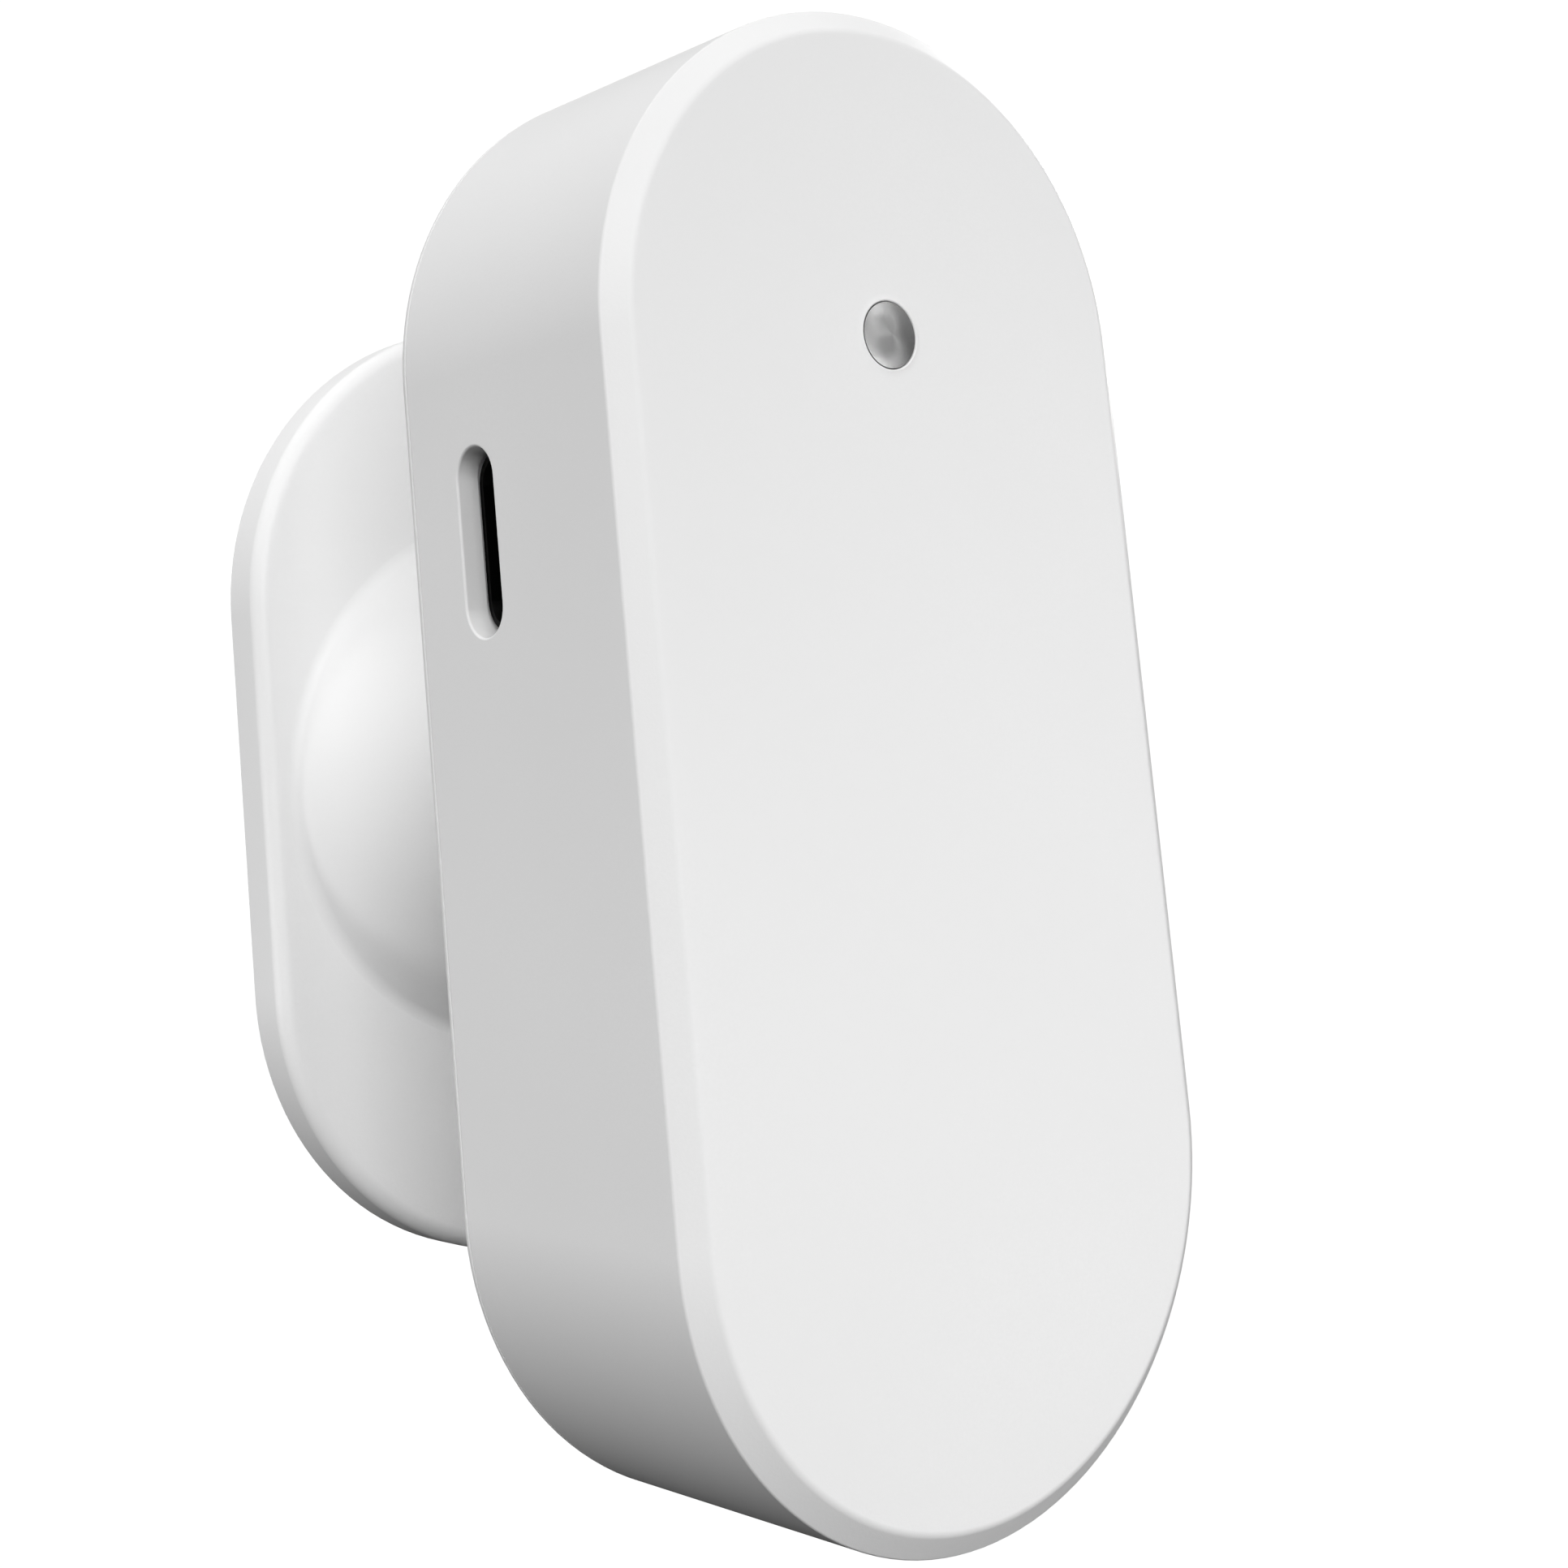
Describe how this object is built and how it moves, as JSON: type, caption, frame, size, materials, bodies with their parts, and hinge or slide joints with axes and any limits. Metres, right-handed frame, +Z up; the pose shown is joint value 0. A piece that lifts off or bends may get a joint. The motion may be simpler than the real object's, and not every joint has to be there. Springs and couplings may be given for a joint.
{
  "type": "door contact sensor",
  "caption": "Pill-shaped door sensor head with indicator lens and side charging slot, on a ball joint carried by a pill-shaped wall foot with a conical boss.",
  "frame": {"origin": "centre of the wall face, on the plane of the foot's adhesive pad", "axes": "+Z up the wall, +Y into the wall, +X to the right of a person who faces the sensor"},
  "size_m": [0.034, 0.04, 0.0752],
  "materials": {
    "white_shell": "fine matte moulded texture",
    "white_foot": "fine matte moulded texture",
    "white_cover": "fine matte moulded texture",
    "stud_plastic": "smooth satin, dry sliding surface",
    "cup_plastic": "smooth satin",
    "liner_plastic": "smooth grey acetal",
    "button_plastic": "satin",
    "lens_plastic": "polished, smoky grey, translucent",
    "pad_foam": "closed foam between two adhesive films",
    "cell_foam": "soft black foam",
    "ring_rubber": "smooth black rubber",
    "screw_steel": "zinc plated",
    "black_steel": "blackened thin steel",
    "can_steel": "tinned sheet",
    "black_plastic": "satin black moulding",
    "contact_gold": "gold plated",
    "board_laminate": "green solder mask over glass laminate",
    "radio_laminate": "blue solder mask over glass laminate",
    "trace_copper": "bare gilded copper",
    "chip_resin": "moulded resin",
    "passive_ceramic": "fired ceramic with tinned ends",
    "led_body": "white reflector with yellow phosphor",
    "reed_glass": "clear drawn glass",
    "reed_alloy": "nickel iron wire",
    "cell_foil": "pouch foil, satin",
    "lead_cover": "silicone covered wire",
    "plug_nylon": "natural nylon"
  },
  "bodies": {
    "wall_mount": {"mount_foot": "white_foot", "adhesive_pad": "pad_foam"},
    "swivel_stud": {"ball_stud": "stud_plastic", "stud_screw": "screw_steel", "stud_washer": "screw_steel"},
    "liner": {"socket_liner": "liner_plastic"},
    "sensor_head": {"front_shell": "white_shell", "rear_cover": "white_cover", "cover_screws": "screw_steel", "socket_cup": "cup_plastic", "socket_screws": "screw_steel", "friction_ring": "ring_rubber", "indicator_lens": "lens_plastic", "status_led": "led_body", "main_board": "board_laminate", "board_screws": "screw_steel", "usb_shell": "black_steel", "usb_tongue": "black_plastic", "usb_contacts": "contact_gold", "radio_module": "radio_laminate", "radio_shield": "can_steel", "antenna_trace": "trace_copper", "reed_glass": "reed_glass", "reed_blades": "reed_alloy", "battery_cell": "cell_foil", "battery_pad": "cell_foam", "battery_lead": "lead_cover", "battery_connector": "plug_nylon", "board_chips": "chip_resin", "board_passives": "passive_ceramic", "tact_switch": "chip_resin"},
    "button": {"pairing_button": "button_plastic", "switch_plunger": "black_plastic"}
  },
  "joints": [
    {"name": "stud_spin", "type": "hinge", "parent": "wall_mount", "child": "swivel_stud", "pos_m": [0, -0.0235, 0], "axis": [0, -1, 0], "continuous": true},
    {"name": "head_pan", "type": "hinge", "parent": "swivel_stud", "child": "liner", "pos_m": [0, -0.0235, 0], "axis": [0, 0, 1], "range_deg": [-24, 24]},
    {"name": "head_tilt", "type": "hinge", "parent": "liner", "child": "sensor_head", "pos_m": [0, -0.0235, 0], "axis": [1, 0, 0], "range_deg": [-24, 24]},
    {"name": "button_press", "type": "slide", "parent": "sensor_head", "child": "button", "axis": [0, -1, 0], "range_m": [0, 0.0005], "stiffness_N_per_m": 2000, "springref_m": -0.0001}
  ]
}
